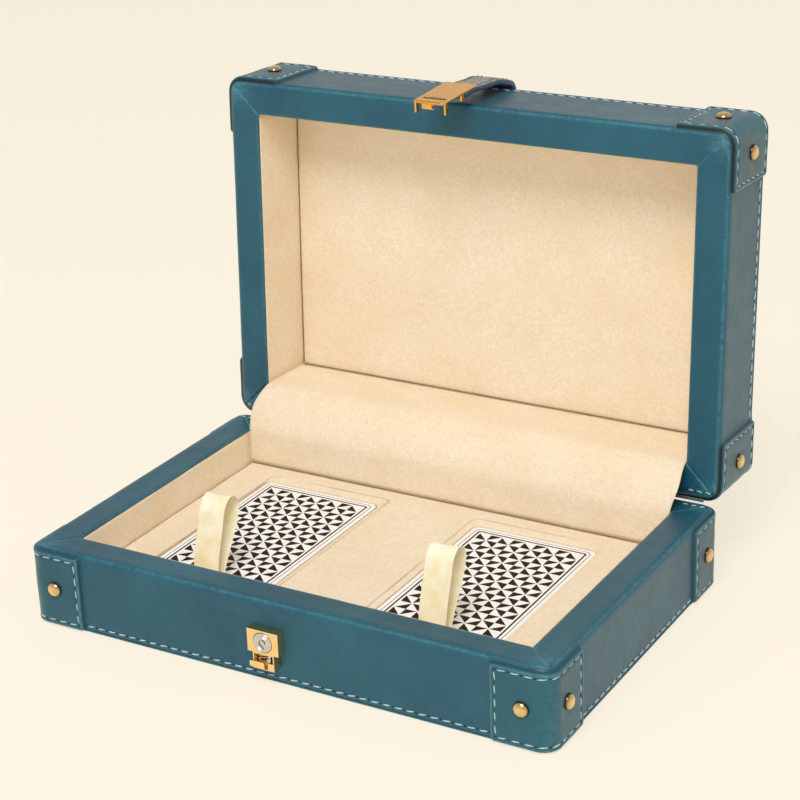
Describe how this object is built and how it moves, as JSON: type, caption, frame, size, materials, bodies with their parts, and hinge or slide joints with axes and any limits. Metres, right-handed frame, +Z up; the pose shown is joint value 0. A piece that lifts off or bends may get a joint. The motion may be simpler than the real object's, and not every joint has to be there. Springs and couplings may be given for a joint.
{
  "type": "card deck box",
  "caption": "Leather card box with a hinged lid, suede lining, sunk deck wells, ribbon pulls, riveted corner caps and a strap clasp.",
  "frame": {"origin": "centre of the tray's underside, on the surface it rests on", "axes": "+X to the right along the front, +Y to the hinge at the back, +Z up"},
  "size_m": [0.2414, 0.2066, 0.1979],
  "materials": {
    "teal_leather": "pigmented, fine grain, satin",
    "cap_leather": "pigmented, fine grain, stitched",
    "strap_leather": "pigmented, stitched, two layers",
    "cream_suede": "napped suede",
    "fibre_board": "plain fibre board",
    "card_stock": "coated paper",
    "satin_ribbon": "satin weave",
    "antique_brass": "tumbled",
    "polished_brass": "polished",
    "nickel_plate": "nickel plated",
    "spring_steel": "bright",
    "cotton_cord": "waxed cotton"
  },
  "bodies": {
    "tray": {"base_bottom_leather": "teal_leather", "base_bottom_board": "fibre_board", "base_front_board": "fibre_board", "base_back_board": "fibre_board", "base_left_board": "fibre_board", "base_right_board": "fibre_board", "base_side_leather": "teal_leather", "base_lining_front": "cream_suede", "base_lining_back": "cream_suede", "base_lining_left": "cream_suede", "base_lining_right": "cream_suede", "base_cap_front_left": "cap_leather", "base_cap_front_right": "cap_leather", "base_cap_back_left": "cap_leather", "base_cap_back_right": "cap_leather", "base_rivets": "antique_brass", "card_insert": "cream_suede", "well_pad_left": "cream_suede", "well_pad_right": "cream_suede", "lock_body": "polished_brass", "hinge_leaf_base": "teal_leather", "hinge_cord": "cotton_cord", "hinge_gusset": "cream_suede"},
    "lid": {"lid_top_leather": "teal_leather", "lid_top_board": "fibre_board", "lid_front_board": "fibre_board", "lid_back_board": "fibre_board", "lid_left_board": "fibre_board", "lid_right_board": "fibre_board", "lid_side_leather": "teal_leather", "lid_lining_front": "cream_suede", "lid_lining_back": "cream_suede", "lid_lining_left": "cream_suede", "lid_lining_right": "cream_suede", "lid_cap_front_left": "cap_leather", "lid_cap_front_right": "cap_leather", "lid_cap_back_left": "cap_leather", "lid_cap_back_right": "cap_leather", "lid_rivets": "antique_brass", "lid_panel": "cream_suede", "hinge_leaf_lid": "teal_leather", "strap_root": "strap_leather"},
    "hasp": {"strap_flap": "strap_leather", "hasp_plate": "polished_brass", "hasp_catch": "spring_steel"},
    "barrel": {"lock_barrel": "nickel_plate"},
    "slide": {"release_slide": "polished_brass", "latch_hook": "spring_steel"},
    "deck_left": {"deck_left_stack": "card_stock", "deck_left_top_card": "card_stock", "pull_ribbon_left": "satin_ribbon"},
    "deck_right": {"deck_right_stack": "card_stock", "deck_right_top_card": "card_stock", "pull_ribbon_right": "satin_ribbon"}
  },
  "joints": [
    {"name": "lid_hinge", "type": "hinge", "parent": "tray", "child": "lid", "pos_m": [0, 0.07785, 0.0349], "axis": [1, 0, 0], "range_deg": [0, 92.4], "deforming": ["hinge_gusset"]},
    {"name": "strap_flex", "type": "hinge", "parent": "lid", "child": "hasp", "pos_m": [-0.003, 0.11764, 0.19255], "axis": [-1, 0, 0], "range_deg": [0, 70]},
    {"name": "barrel_turn", "type": "hinge", "parent": "tray", "child": "barrel", "pos_m": [-0.003, -0.08165, 0.0189], "axis": [0, -1, 0], "range_deg": [-90, 0]},
    {"name": "slide_release", "type": "slide", "parent": "tray", "child": "slide", "axis": [1, 0, 0], "range_m": [0, 0.0012], "stiffness_N_per_m": 400, "springref_m": -0.001},
    {"name": "deck_left_lift", "type": "slide", "parent": "tray", "child": "deck_left", "axis": [0, 0, 1], "range_m": [0, 0.0145]},
    {"name": "deck_right_lift", "type": "slide", "parent": "tray", "child": "deck_right", "axis": [0, 0, 1], "range_m": [0, 0.0145]}
  ]
}
